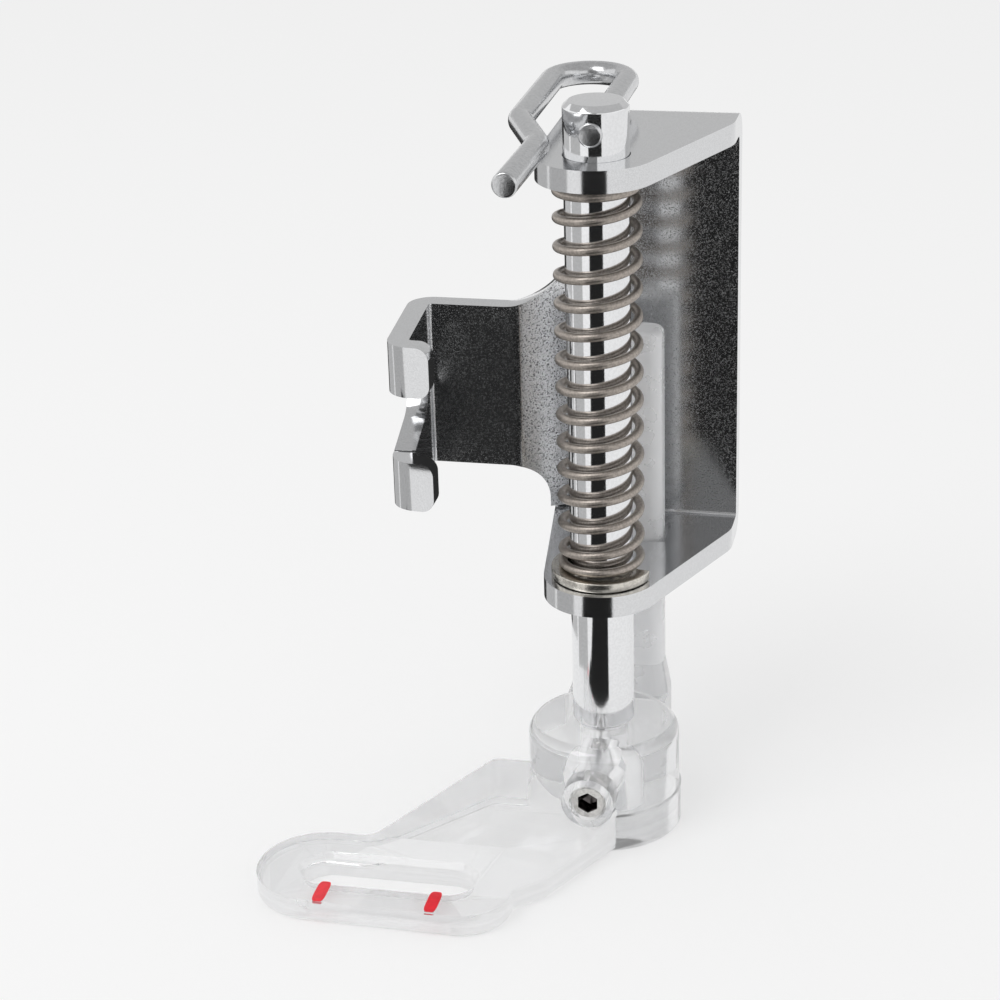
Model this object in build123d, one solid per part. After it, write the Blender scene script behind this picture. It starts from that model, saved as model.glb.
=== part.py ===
from build123d import *

# Spring-loaded free-motion presser foot of a sewing machine. A folded steel bracket hooks
# round the presser bar, a plunger rod slides in its two ears against a spring, and a
# clear moulded foot is clamped on the rod's lower end.
# Millimetres. +Z is up and Z = 0 is the sole. The rod's axis is X = Y = 0, the bracket's
# plate stands at +Y and its fork lies at -X.
import math
import os

# Plunger rod
ROD_DIAMETER = 4.0
ROD_EXPOSED = 9.0          # bare rod between the foot's boss and the lower ear
ROD_ABOVE_EAR = 3.3        # from the upper ear to the rod's top end
ROD_CHAMFER = 0.35
SPIGOT_DIAMETER = 3.2      # turned-down end that sits in the foot
SPIGOT_LENGTH = 5.5
GROOVE_DIAMETER = 3.2      # neck that carries the retaining ring
GROOVE_CLEARANCE = 0.03    # between the ring's faces and the groove's
RUNNING_CLEARANCE = 0.05   # radial, between the rod and the ears' holes

# Folded bracket
SHEET = 1.4
BEND_INNER = 0.2
EAR_GAP = 25.95            # clear height between the two ears
EAR_RADIUS = 3.7           # round end of each ear, about the rod
EAR_SHOULDER = 2.35        # straight side of an ear in front of the plate
EAR_CORNER = 3.0
PLATE_FRONT = 10.25        # from the rod's axis back to the plate's front face
PLATE_RIGHT = 7.2          # from the rod's axis to the plate's right edge
PLATE_LEFT = 5.2           # from the rod's axis to the plate's lower left edge
JOG = 1.65                 # step forward from the plate to the arm
JOG_ANGLE = 27.0           # degrees, of that step's bends
ARM_LIFT = 3.4             # from the lower ear's top to the arm's lower edge
ARM_HEIGHT = 11.1
ARM_END = 14.3             # from the rod's axis to the flange's outer face
NECK_UPPER = 4.25          # concave corner between the arm and the plate's upper part
NECK_LOWER = 2.5
FLANGE_DEPTH = 7.0         # from the arm's front face to the lips' inner faces
FLANGE_LEAN = 3.5          # degrees, towards the rod at the front
LIP_WIDTH = 2.95           # a lip across, with the bend
LIP_CORNER = 0.85
SLOT_WIDTH = 4.45          # passes the machine's thumb screw
SLOT_LIFT = 8.9            # from the lower ear's top to the slot's centre at the mouth
SLOT_RISE = 13.0           # degrees, upwards to the back
SLOT_DEPTH = 5.9           # from the lips' inner faces to the end of the slot

# Retaining ring and spring
RING_THICKNESS = 0.6
RING_RIM = 0.75            # width of the ring's outer band
RING_PRONG_GAP = 0.85      # from the groove out to the inside of that band
RING_PRONG_WIDTH = 1.5
RING_SEAT = 0.05           # between the ring and the lower ear when at rest
RING_MOUTH = 40.0          # degrees from +X to the middle of the mouth
RING_MOUTH_ANGLE = 100.0   # degrees of the circle that are open
SPRING_WIRE = 0.62
SPRING_CLEARANCE = 0.13    # radial, between the coils and the rod
SPRING_TURNS = 13
SPRING_STEPS = 16          # flats in one turn
SPRING_SIDES = 8           # flats round the wire

# Lifting wire
WIRE_DIAMETER = 1.5
WIRE_DROP = 1.65           # from the rod's top end down to the wire's axis
WIRE_END = 0.1             # stub of wire in front of the rod
WIRE_BACK = 13.0           # from the rod's axis to the back of the loop
WIRE_LOOP = 4.8            # between the loop's two legs
WIRE_KNEE = 1.0            # behind the rod's axis, where the free leg turns inwards
WIRE_ELBOW_IN = 2.6        # of the free leg, from the rod's axis
WIRE_ELBOW_OUT = 4.4
WIRE_TIP_IN = 2.8
WIRE_TIP_OUT = 12.7
WIRE_BEND = 2.5

# Clear foot
SOLE = 1.55                # thickness of the needle ring
NEEDLE_IN = 11.55          # from the rod's axis to the needle, towards the fork
NEEDLE_OUT = 12.35         # from the rod's axis to the needle, towards the front
RING_REACH = 8.45          # from the needle to the round end of the ring
RING_DEPTH = 8.4           # of the needle ring, front to back
RING_SKEW = 0.35           # of the ring's front edge, further back at the round end
RING_ROUND = 3.1           # front corner beside the arm
OPENING_LENGTH = 10.9
OPENING_WIDTH = 3.2
OPENING_CHAMFER = 0.35
RING_SIDE = 3.45           # from the rod's axis to the ring's side, at the arm's front
NOTCH_OUT = 12.95          # notch where the arm's front edge leaves that side
NOTCH_ROUND = 0.6
ARM_CORNER_IN = 1.75       # corner of the arm's front edge beside the notch
ARM_CORNER_OUT = 11.35
ARM_CORNER_ROUND = 1.2
ARM_FRONT_ANGLE = 63.4     # degrees, of the arm's front edge from X
ARM_BACK_IN = 13.7         # where the arm's back edge leaves the ring
ARM_BACK_ROUND = 2.0
SHOULDER_IN = 7.0          # arm's back shoulder beside the boss
SHOULDER_OUT = 1.7
SHOULDER_ROUND = 1.2
ARM_TOP = 4.3              # height of the arm at that shoulder
EDGE_ROUND = 0.35          # rounding of the sole's rim
BOSS_RADIUS = 4.9
BOSS_HEIGHT = 7.0
BOSS_ROUND = 0.9
COLLAR_HEIGHT = 2.4
COLLAR_STEP = 0.12
STUB_RADIUS = 1.7          # radial stub that holds the set screw
STUB_DROP = 2.9            # from the boss's top down to its axis
STUB_REACH = 6.2           # from the rod's axis to its face
POST_WIDTH = 5.8
POST_DEPTH = 2.6
POST_FRONT = 5.5           # from the rod's axis to the post's front face
POST_TOP = 24.6            # of the post above the boss
POST_CORNER = 0.9
POST_TOP_ROUND = 0.5
POST_FLARE = 0.4           # widening of the post at the boss, each side
FLARE_HEIGHT = 1.2
POST_CLEARANCE = 0.25      # between the post and the slot in the lower ear

# Set screw and guide marks
SCREW_RADIUS = 1.2
SCREW_RECESS = 0.1
SCREW_TIP_GAP = 0.02
SOCKET_ACROSS = 1.3
SOCKET_DEPTH = 1.3
MARK_SPACING = 7.1
MARK_WIDTH = 0.6
MARK_LENGTH = 2.1
MARK_INSET = 0.4           # from the ring's front edge
MARK_DEPTH = 0.2

# Heights that follow from the sizes above
LOWER_EAR = BOSS_HEIGHT + ROD_EXPOSED
LOWER_EAR_TOP = LOWER_EAR + SHEET
UPPER_EAR = LOWER_EAR_TOP + EAR_GAP
UPPER_EAR_TOP = UPPER_EAR + SHEET
ROD_TOP = UPPER_EAR_TOP + ROD_ABOVE_EAR
RING_BOTTOM = LOWER_EAR_TOP + RING_SEAT
RING_TOP = RING_BOTTOM + RING_THICKNESS
WIRE_Z = ROD_TOP - WIRE_DROP
STUB_HEIGHT = BOSS_HEIGHT - STUB_DROP
ARM_BOTTOM = LOWER_EAR_TOP + ARM_LIFT
ARM_UPPER = ARM_BOTTOM + ARM_HEIGHT

# Places that follow from them
BEND = BEND_INNER + SHEET / 2
PLATE_MID = PLATE_FRONT + SHEET / 2
PLATE_BACK = PLATE_FRONT + SHEET
ARM_MID = PLATE_MID - JOG
JOG_START = EAR_RADIUS + BEND * math.tan(math.radians(JOG_ANGLE / 2))
JOG_END = JOG_START + JOG / math.tan(math.radians(JOG_ANGLE))
LIP_INNER = PLATE_FRONT - JOG - FLANGE_DEPTH
LIP_MID = LIP_INNER - SHEET / 2
FLANGE_MID = SHEET / 2 - ARM_END
FLANGE_TIP = FLANGE_MID + (ARM_MID - LIP_MID) * math.tan(math.radians(FLANGE_LEAN))
LIP_END = FLANGE_TIP - SHEET / 2 + LIP_WIDTH
SLOT_Z = LOWER_EAR_TOP + SLOT_LIFT
RING_BACK = RING_DEPTH / 2 - NEEDLE_OUT
RING_FRONT = -RING_DEPTH / 2 - NEEDLE_OUT
POST_BACK = POST_FRONT + POST_DEPTH
OVERSHOOT = 1.0            # of a cutter past the face that it cuts


def sheet_along(points, radii, plane):
    """Section of the folded sheet whose middle line runs through the points."""
    return plane * trace(FilletPolyline(*points, radius=radii), SHEET)


def tangent_point(point, turn):
    """Point of the ear's round end where a line from the given point touches it."""
    reach = math.hypot(*point)
    angle = math.atan2(point[1], point[0]) + turn * math.acos(EAR_RADIUS / reach)
    return EAR_RADIUS * math.cos(angle), EAR_RADIUS * math.sin(angle)


def ear_outline(left):
    """Outline of an ear and the plate's footprint, round about the rod."""
    shoulder = (PLATE_RIGHT, PLATE_FRONT - EAR_SHOULDER)
    right_back = (PLATE_RIGHT, PLATE_BACK)
    left_back = (-left, PLATE_BACK)
    right = tangent_point(shoulder, -1)
    left_side = tangent_point(left_back, 1)
    sides = Polyline(left_side, left_back, right_back, shoulder, right)
    outline = make_face(sides.edges() + [ThreePointArc(right, (0, -EAR_RADIUS), left_side)])
    corner = outline.vertices().sort_by_distance(shoulder)[0]
    return fillet(corner, EAR_CORNER)


def ears_and_plate():
    """Upright plate with the upper and lower ears folded forwards from it."""
    upper_mid = UPPER_EAR + SHEET / 2
    lower_mid = LOWER_EAR + SHEET / 2
    reach = -EAR_RADIUS - OVERSHOOT
    path = [(reach, upper_mid), (PLATE_MID, upper_mid), (PLATE_MID, lower_mid), (reach, lower_mid)]
    section = sheet_along(path, [BEND, BEND], Plane.YZ)
    folded = extrude(section, PLATE_RIGHT) + extrude(section, -PLATE_LEFT)
    middle = (LOWER_EAR + UPPER_EAR_TOP) / 2
    half = UPPER_EAR_TOP - middle
    lower = Pos(0, 0, middle) * extrude(ear_outline(PLATE_LEFT), -half)
    upper = Pos(0, 0, middle) * extrude(ear_outline(EAR_RADIUS), half)
    return (folded & (lower + upper)) - step_room()


def step_room():
    """Room beside the flat plate, above the lower bend, for the step to the arm."""
    edge = (Align.MAX, Align.CENTER, Align.MIN)
    room = Box(PLATE_LEFT, 2 * (PLATE_BACK + OVERSHOOT), UPPER_EAR_TOP - LOWER_EAR, align=edge)
    return Pos(-EAR_RADIUS, 0, LOWER_EAR_TOP + BEND_INNER) * room


def arm_and_fork():
    """Arm stepped forward from the plate, flange and inward lips, at the plate's height."""
    path = [
        (LIP_END, LIP_MID),
        (FLANGE_TIP, LIP_MID),
        (FLANGE_MID, ARM_MID),
        (-JOG_END, ARM_MID),
        (-JOG_START, PLATE_MID),
        (0, PLATE_MID),
    ]
    section = sheet_along(path, BEND, Plane.XY)
    room = UPPER_EAR - LOWER_EAR_TOP - 2 * BEND_INNER
    return Pos(0, 0, LOWER_EAR_TOP + BEND_INNER) * extrude(section, room)


def front_outline():
    """Outline of the flat plate, its neck and the arm, seen from the front."""
    beyond = ARM_END + OVERSHOOT
    points = [
        (PLATE_RIGHT, LOWER_EAR),
        (PLATE_RIGHT, UPPER_EAR_TOP),
        (-EAR_RADIUS, UPPER_EAR_TOP),
        (-EAR_RADIUS, ARM_UPPER),
        (-beyond, ARM_UPPER),
        (-beyond, ARM_BOTTOM),
        (-PLATE_LEFT, ARM_BOTTOM),
        (-PLATE_LEFT, LOWER_EAR),
    ]
    radii = [0, 0, 0, NECK_UPPER, 0, 0, NECK_LOWER, 0]
    outline = make_face(FilletPolyline(*points, radius=radii, close=True))
    return extrude(Plane.XZ * outline, 2 * PLATE_BACK, both=True)


def thumb_screw_slot():
    """Open slot through the flange and between the lips, with a round end."""
    lap = SLOT_WIDTH / 2 * math.sin(math.radians(SLOT_RISE))
    mouth = Rectangle(2 * SHEET + lap, SLOT_WIDTH, align=(Align.MAX, Align.CENTER))
    straight = SLOT_DEPTH - SLOT_WIDTH / 2
    run = Rectangle(straight, SLOT_WIDTH, align=(Align.MIN, Align.CENTER))
    throat = run + Pos(straight, 0) * Circle(SLOT_WIDTH / 2)
    slot = Pos(lap, 0) * mouth + Rot(0, 0, SLOT_RISE) * throat
    slot = Pos(LIP_INNER, SLOT_Z) * slot
    return Pos(-ARM_END - OVERSHOOT, 0, 0) * extrude(Plane.YZ * slot, 2 * LIP_WIDTH)


def lip_corner(level, side):
    """Waste outside the rounded corner of a lip's free end, at its top or bottom edge."""
    centre = Pos(LIP_END - LIP_CORNER, level - side * LIP_CORNER)
    square = Rectangle(LIP_CORNER, LIP_CORNER, align=(Align.MIN, Align.MIN if side > 0 else Align.MAX))
    waste = centre * (square - Circle(LIP_CORNER))
    return Pos(0, LIP_INNER + OVERSHOOT, 0) * extrude(Plane.XZ * waste, SHEET + 2 * OVERSHOOT)


def bracket():
    """One folded sheet: plate, two ears, stepped arm, flange and a slotted fork."""
    body = (ears_and_plate() + arm_and_fork()) & front_outline()
    body -= Pos(0, 0, LOWER_EAR) * Cylinder(
        ROD_DIAMETER / 2 + RUNNING_CLEARANCE, 2 * (UPPER_EAR_TOP - LOWER_EAR)
    )
    post_hole = Box(
        POST_WIDTH + 2 * POST_CLEARANCE,
        POST_DEPTH + 2 * POST_CLEARANCE,
        2 * SHEET,
    )
    body -= Pos(0, POST_FRONT + POST_DEPTH / 2, LOWER_EAR + SHEET / 2) * post_hole
    body -= thumb_screw_slot()
    half_slot = SLOT_WIDTH / 2
    for level, side in (
        (ARM_UPPER, 1),
        (SLOT_Z + half_slot, -1),
        (SLOT_Z - half_slot, 1),
        (ARM_BOTTOM, -1),
    ):
        body -= lip_corner(level, side)
    return body


def plunger_rod():
    """Turned rod with a spigot below, a ring groove and a cross hole at the top."""
    length = ROD_TOP - BOSS_HEIGHT
    rod = Pos(0, 0, BOSS_HEIGHT) * extrude(Circle(ROD_DIAMETER / 2), length)
    rod = chamfer(rod.edges().filter_by(GeomType.CIRCLE), ROD_CHAMFER)
    rod += Pos(0, 0, BOSS_HEIGHT - SPIGOT_LENGTH) * extrude(
        Circle(SPIGOT_DIAMETER / 2), SPIGOT_LENGTH + ROD_CHAMFER
    )
    groove = Circle(ROD_DIAMETER) - Circle(GROOVE_DIAMETER / 2)
    rod -= Pos(0, 0, RING_BOTTOM - GROOVE_CLEARANCE) * extrude(
        groove, RING_THICKNESS + 2 * GROOVE_CLEARANCE
    )
    return rod - Pos(0, 0, WIRE_Z) * Rot(90, 0, 0) * Cylinder(WIRE_DIAMETER / 2, 2 * ROD_DIAMETER)


def lift_wire():
    """Round wire through the rod, looped behind it and led forwards as a finger pull."""
    legs = [
        (0, -ROD_DIAMETER / 2 - WIRE_END),
        (0, WIRE_BACK),
        (-WIRE_LOOP, WIRE_BACK),
        (-WIRE_LOOP, WIRE_KNEE),
        (-WIRE_ELBOW_IN, -WIRE_ELBOW_OUT),
        (-WIRE_TIP_IN, -WIRE_TIP_OUT),
    ]
    turn = 0.499 * WIRE_LOOP
    path = FilletPolyline(*legs, radius=[turn, turn, WIRE_BEND, WIRE_BEND])
    section = Plane(origin=path @ 0, z_dir=path % 0) * Circle(WIRE_DIAMETER / 2)
    return Pos(0, 0, WIRE_Z) * sweep(section, path=path)


def spring():
    """Right-hand compression spring with ground ends, from the ring to the upper ear.

    The wire is lofted through sections along the helix, as flats, to keep its faces few.
    """
    length = UPPER_EAR - RING_TOP
    radius = ROD_DIAMETER / 2 + SPRING_CLEARANCE + SPRING_WIRE / 2
    helix = Helix(pitch=length / SPRING_TURNS, height=length, radius=radius)
    steps = SPRING_TURNS * SPRING_STEPS
    sections = []
    for step in range(steps + 1):
        middle = helix @ (step / steps)
        across = Plane(middle, x_dir=(middle.X, middle.Y, 0), z_dir=helix % (step / steps))
        sections.append(across * RegularPolygon(SPRING_WIRE / 2, SPRING_SIDES))
    coil = loft(sections, ruled=True)
    seat = extrude(Circle(radius + SPRING_WIRE), length)
    return Pos(0, 0, RING_TOP) * (coil & seat)


def retaining_ring():
    """Snap ring of the E form: an open outer band with three prongs in the groove."""
    neck = GROOVE_DIAMETER / 2
    inside = neck + RING_PRONG_GAP
    outside = inside + RING_RIM
    band = Circle(outside) - Circle(inside)
    half_mouth = math.radians(RING_MOUTH_ANGLE / 2)
    far = 2 * outside
    wedge = Polyline(
        (0, 0),
        (far * math.cos(half_mouth), far * math.sin(half_mouth)),
        (far * math.cos(half_mouth), -far * math.sin(half_mouth)),
        close=True,
    )
    band -= make_face(wedge)
    prong = Rectangle((inside + outside) / 2, RING_PRONG_WIDTH, align=(Align.MIN, Align.CENTER))
    side = RING_MOUTH_ANGLE / 2 + math.degrees(RING_PRONG_WIDTH / 2 / inside)
    for angle in (180, side, -side):
        band += Rot(0, 0, angle) * prong
    band = (band - Circle(neck)) & Circle(outside)
    return Pos(0, 0, RING_BOTTOM) * Rot(0, 0, RING_MOUTH) * extrude(band, RING_THICKNESS)


def foot_plate():
    """Needle ring and arm: one outline, flat at the ring and sloping up to the boss."""
    slope = math.radians(ARM_FRONT_ANGLE)
    points = [
        (-NEEDLE_IN - RING_REACH, RING_BACK),
        (-NEEDLE_IN - RING_REACH, RING_FRONT + RING_SKEW),
        (-RING_SIDE, RING_FRONT),
        (-RING_SIDE, -NOTCH_OUT),
        (-ARM_CORNER_IN, -ARM_CORNER_OUT),
        (-ARM_CORNER_IN + ARM_CORNER_OUT / math.tan(slope), 0),
        (0, -SHOULDER_OUT),
        (-SHOULDER_IN, -SHOULDER_OUT),
        (-ARM_BACK_IN, RING_BACK),
    ]
    end = 0.499 * (RING_DEPTH - RING_SKEW)
    radii = [end, end, RING_ROUND, NOTCH_ROUND, ARM_CORNER_ROUND, 0, 0, SHOULDER_ROUND, ARM_BACK_ROUND]
    outline = make_face(FilletPolyline(*points, radius=radii, close=True))
    plate = extrude(outline, ARM_TOP)
    profile = Polyline(
        (RING_FRONT - OVERSHOOT, 0),
        (OVERSHOOT, 0),
        (OVERSHOOT, ARM_TOP),
        (-SHOULDER_OUT, ARM_TOP),
        (RING_BACK, SOLE),
        (RING_FRONT - OVERSHOOT, SOLE),
        close=True,
    )
    return plate & extrude(Plane.YZ * make_face(profile), 2 * (NEEDLE_IN + RING_REACH), both=True)


def foot_boss():
    """Round boss with a collar, the set screw's stub and the guide post behind."""
    wall = Polyline(
        (0, 0),
        (BOSS_RADIUS + COLLAR_STEP, 0),
        (BOSS_RADIUS + COLLAR_STEP, COLLAR_HEIGHT),
        (BOSS_RADIUS, COLLAR_HEIGHT + COLLAR_STEP),
        (BOSS_RADIUS, BOSS_HEIGHT),
        (0, BOSS_HEIGHT),
        close=True,
    )
    profile = make_face(wall)
    rim = profile.vertices().sort_by_distance((BOSS_RADIUS, BOSS_HEIGHT))[0]
    boss = revolve(Plane.XZ * fillet(rim, BOSS_ROUND), Axis.Z)
    boss += Pos(0, 0, STUB_HEIGHT) * extrude(Plane.XZ * Circle(STUB_RADIUS), STUB_REACH)
    return boss + guide_post()


def rounded_block(width, front):
    """Section between the post's back and a front face, with rounded corners."""
    depth = POST_BACK - front
    return Pos(0, front + depth / 2) * RectangleRounded(width, depth, POST_CORNER)


def guide_post():
    """Flat post that keeps the foot from turning, widened where it leaves the boss."""
    section = rounded_block(POST_WIDTH, POST_FRONT)
    post = extrude(section, BOSS_HEIGHT + POST_TOP)
    post = fillet(post.edges().group_by(Axis.Z)[-1], POST_TOP_ROUND)
    lug_width = POST_WIDTH + 2 * POST_FLARE
    lug_height = BOSS_HEIGHT - BOSS_ROUND
    lug = extrude(rounded_block(lug_width, 0), lug_height)
    root = Pos(0, 0, lug_height) * rounded_block(lug_width, POST_FRONT - POST_FLARE)
    tip = Pos(0, 0, BOSS_HEIGHT + FLARE_HEIGHT) * section
    return post + lug + loft([root, tip])


def mark_places():
    """Corner-to-corner middles of the two guide marks on the ring's top."""
    middle = RING_FRONT + MARK_INSET + MARK_LENGTH / 2
    return [Pos(-NEEDLE_IN + side * MARK_SPACING / 2, middle, SOLE) for side in (-1, 1)]


def mark():
    """One guide mark, hung below the ring's top face."""
    below = (Align.CENTER, Align.CENTER, Align.MAX)
    return Box(MARK_WIDTH, MARK_LENGTH, MARK_DEPTH, align=below)


def clear_foot():
    """One clear moulding: needle ring, sloping arm, boss, stub and guide post."""
    plate = foot_plate()
    rim = plate.edges().group_by(Axis.Z)[0]
    plate = fillet(rim, EDGE_ROUND)
    body = plate + foot_boss()
    place = Pos(-NEEDLE_IN, -NEEDLE_OUT)
    opening = place * SlotOverall(OPENING_LENGTH, OPENING_WIDTH)
    body -= extrude(opening, ARM_TOP + OVERSHOOT)
    flared = place * SlotOverall(
        OPENING_LENGTH + 2 * OPENING_CHAMFER, OPENING_WIDTH + 2 * OPENING_CHAMFER
    )
    body -= Pos(0, 0, SOLE) * extrude(flared, -OPENING_CHAMFER, taper=45)
    body -= Pos(0, 0, BOSS_HEIGHT) * extrude(Circle(SPIGOT_DIAMETER / 2), -SPIGOT_LENGTH)
    body -= Pos(0, 0, STUB_HEIGHT) * extrude(
        Plane.XZ * Circle(SCREW_RADIUS), STUB_REACH + OVERSHOOT
    )
    for place in mark_places():
        body -= place * mark()
    return body


def set_screw():
    """Headless screw with a hexagon socket, driven in against the rod's spigot."""
    tip = SPIGOT_DIAMETER / 2 + SCREW_TIP_GAP
    face = STUB_REACH - SCREW_RECESS
    screw = Pos(0, -tip, STUB_HEIGHT) * extrude(Plane.XZ * Circle(SCREW_RADIUS), face - tip)
    socket = RegularPolygon(SOCKET_ACROSS / 2, 6, major_radius=False)
    return screw - Pos(0, -face, STUB_HEIGHT) * extrude(Plane.XZ * socket, -SOCKET_DEPTH)


def guide_marks():
    """Two inlaid strips that show the width of the widest stitch."""
    return Compound(children=[place * mark() for place in mark_places()])


PIECES = {
    "bracket": bracket,
    "plunger_rod": plunger_rod,
    "lift_wire": lift_wire,
    "spring": spring,
    "retaining_ring": retaining_ring,
    "clear_foot": clear_foot,
    "set_screw": set_screw,
    "guide_marks": guide_marks,
}

os.makedirs("parts", exist_ok=True)
for name, make in PIECES.items():
    export_step(make(), f"parts/{name}.step")
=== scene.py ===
"""Spring-loaded sewing machine presser foot, dressed for rendering.

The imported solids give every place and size. Round pieces are worked out again as smooth
surfaces, folded and moulded pieces are copied with softened edges, and each finish is a
procedural material. Lengths in the settings are millimetres, and meshes are in metres.
"""
import math

import bmesh
import bpy
import numpy as np
from mathutils import Matrix, Vector


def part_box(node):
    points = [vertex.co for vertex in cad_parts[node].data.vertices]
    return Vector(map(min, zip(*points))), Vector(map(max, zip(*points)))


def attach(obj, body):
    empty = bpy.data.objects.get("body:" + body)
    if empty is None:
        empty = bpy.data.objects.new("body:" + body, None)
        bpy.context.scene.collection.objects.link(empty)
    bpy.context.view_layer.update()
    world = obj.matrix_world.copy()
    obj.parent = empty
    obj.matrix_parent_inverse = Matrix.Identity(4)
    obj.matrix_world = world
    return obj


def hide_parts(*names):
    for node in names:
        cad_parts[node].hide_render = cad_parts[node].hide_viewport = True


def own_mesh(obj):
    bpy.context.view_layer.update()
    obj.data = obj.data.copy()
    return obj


bl_info = {
    "name": "Presser foot",
    "version": (1, 0, 0),
    "blender": (4, 5, 0),
    "location": "View3D > Sidebar > Presser foot",
    "description": "Builds the looks of a spring-loaded presser foot over its packed solids",
    "category": "Object",
}

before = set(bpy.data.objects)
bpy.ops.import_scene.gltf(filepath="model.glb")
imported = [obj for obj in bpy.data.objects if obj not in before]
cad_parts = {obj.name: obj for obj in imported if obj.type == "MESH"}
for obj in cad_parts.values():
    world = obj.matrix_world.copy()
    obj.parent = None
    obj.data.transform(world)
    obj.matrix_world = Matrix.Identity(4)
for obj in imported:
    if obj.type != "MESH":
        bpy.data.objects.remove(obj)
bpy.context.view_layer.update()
MM = 0.001


def node_box(node):
    """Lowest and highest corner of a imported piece, in millimetres."""
    low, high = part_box(node)
    return np.array(low) / MM, np.array(high) / MM


ROD_LOW, ROD_HIGH = node_box("plunger_rod")
SPRING_LOW, SPRING_HIGH = node_box("spring")
RING_LOW, RING_HIGH = node_box("retaining_ring")
WIRE_LOW, WIRE_HIGH = node_box("lift_wire")
SCREW_LOW, SCREW_HIGH = node_box("set_screw")

# Bracket, in millimetres: the thickness of its sheet, the reach of the fork's tabs from its left
# end, the depth that the tabs stay in front of, and the depth that the arm and plate lie behind
SHEET = 1.4
TAB_REACH = 4.0
TAB_BACK = 1.8
ARM_FRONT = 5.0

# Part of a face's normal along an axis: past SQUARE the face is square to that axis, past BROAD
# it is nearly so, and under LEVEL the face lies along it
SQUARE = 0.95
BROAD = 0.85
LEVEL = 0.1

# Points nearer than this are one point, in millimetres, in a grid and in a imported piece
GRID_MERGE = 1e-4
SOLID_MERGE = 1e-3

# Faces that turn by less than this are one flat face, in degrees
FLAT_TURN = 0.4


def length(default, name, description):
    """A length property in millimetres."""
    return bpy.props.FloatProperty(
        name=name, description=f"{description}, in millimetres", default=default, min=0.0, precision=3
    )


def colour(default, name, description):
    """A linear colour property."""
    return bpy.props.FloatVectorProperty(
        name=name, description=description, default=default, subtype="COLOR", size=3, min=0.0, max=1.0
    )


def angle(default, name, description):
    """An angle property, given in degrees."""
    return bpy.props.FloatProperty(
        name=name, description=description, default=math.radians(default), subtype="ANGLE"
    )


class SheetSettings(bpy.types.PropertyGroup):
    """Folded bracket and snap ring."""

    edge: length(0.13, "Edge", "Softened width of the sheet's edges")
    tab_edge: length(0.36, "Tab edge", "Softened width round the front of the fork's two tabs")
    ring_edge: length(0.07, "Ring edge", "Softened width of the snap ring's edges")
    nickel: colour((0.75, 0.755, 0.765), "Nickel", "Colour of the plated sheet")
    # A darker copy of the nickel for the plate and the arm: painted shade
    shaded_nickel: colour((0.62, 0.625, 0.635), "Shaded sheet", "Colour of the plate and the arm")
    # A near-white copy of the nickel for the step from plate to arm: painted light
    lit_nickel: colour((0.98, 0.985, 1.0), "Lit sheet", "Colour of the step from plate to arm")
    ring: colour((0.70, 0.67, 0.61), "Ring", "Colour of the snap ring")
    grain: length(0.075, "Grain", "Size of the speckle in the plating")
    tab_lean: angle(4.5, "Tab lean", "Turn of the fork's two tabs towards the front, from the fold on")


class RodSettings(bpy.types.PropertyGroup):
    """Plunger rod and lifting wire."""

    spigot: length(5.5, "Spigot", "Length of the turned-down end in the foot")
    spigot_gap: length(0.03, "Spigot gap", "Air between the spigot and the foot's bore")
    neck: length(1.6, "Neck", "Radius of the spigot and of the ring's groove")
    chamfer: length(0.35, "Chamfer", "Bevel at the rod's ends")
    chrome: colour((0.86, 0.865, 0.875), "Chrome", "Colour of the polished rod")
    wire: colour((0.66, 0.665, 0.675), "Wire", "Colour of the plated lifting wire")
    wire_bend: length(2.5, "Bend", "Radius of the finger pull's two bends")
    wire_end: length(0.16, "Wire end", "Rounding of the wire's cut ends")


class SpringSettings(bpy.types.PropertyGroup):
    """Compression spring."""

    wire: length(0.56, "Wire", "Diameter of the spring's wire")
    turns: bpy.props.FloatProperty(name="Turns", description="All turns of the coil", default=15.2)
    closed: bpy.props.FloatProperty(
        name="Closed turns", description="Turns that lie close at each end", default=1.0
    )
    start: angle(100.0, "Start", "Direction of the coil's lower end from +X")
    steel: colour((0.44, 0.395, 0.355), "Steel", "Colour of the drawn spring steel")


class FootSettings(bpy.types.PropertyGroup):
    """Clear foot, its guide marks and its set screw."""

    edge: length(0.12, "Edge", "Softened width of the moulding's edges")
    plastic: colour((0.955, 0.958, 0.965), "Plastic", "Tint of the clear plastic")
    post: colour((0.985, 0.99, 1.0), "Post", "Tint of the frosted guide post")
    frosted: length(8.6, "Frosted", "Height above which the guide post is frosted")
    red: colour((1.0, 0.022, 0.04), "Red", "Colour of the guide marks")
    mark: length(0.78, "Mark", "Width of a painted guide mark")
    recess: length(0.6, "Recess", "Width of the recess below a guide mark")
    heap: length(0.035, "Heap", "Paint that stands over the rim of its recess")
    screw: colour((0.72, 0.71, 0.69), "Screw", "Colour of the set screw")
    # Painted shade inside the set screw's socket
    socket_shade: colour((0.11, 0.1, 0.1), "Shadowed socket", "Colour inside the set screw's socket")
    pitch: length(0.45, "Pitch", "Pitch of the set screw's thread")
    thread: length(0.12, "Thread", "Depth of the set screw's thread")
    socket: length(1.15, "Socket", "Size of the hexagon across its flats")
    socket_depth: length(0.95, "Socket depth", "Depth of the hexagon")


class StageSettings(bpy.types.PropertyGroup):
    """Camera, light and floor."""

    azimuth: angle(13.048, "Azimuth", "Camera to the right of the front")
    elevation: angle(23.317, "Elevation", "Camera above the level")
    roll: angle(-1.775, "Roll", "Lean of the camera")
    distance: length(160.0, "Distance", "Camera to its aim")
    lens: length(91.01, "Lens", "Focal length on a 36 mm frame")
    aim: bpy.props.FloatVectorProperty(
        name="Aim",
        description="Point that the camera looks at, in millimetres",
        default=(-6.498, 0.0, 22.01),
        subtype="XYZ",
    )
    floor: colour((0.93, 0.93, 0.93), "Floor", "Colour of the floor")


def settings():
    """All settings of the scene."""
    return bpy.context.scene.presser_foot


# Meshes from grids


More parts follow.
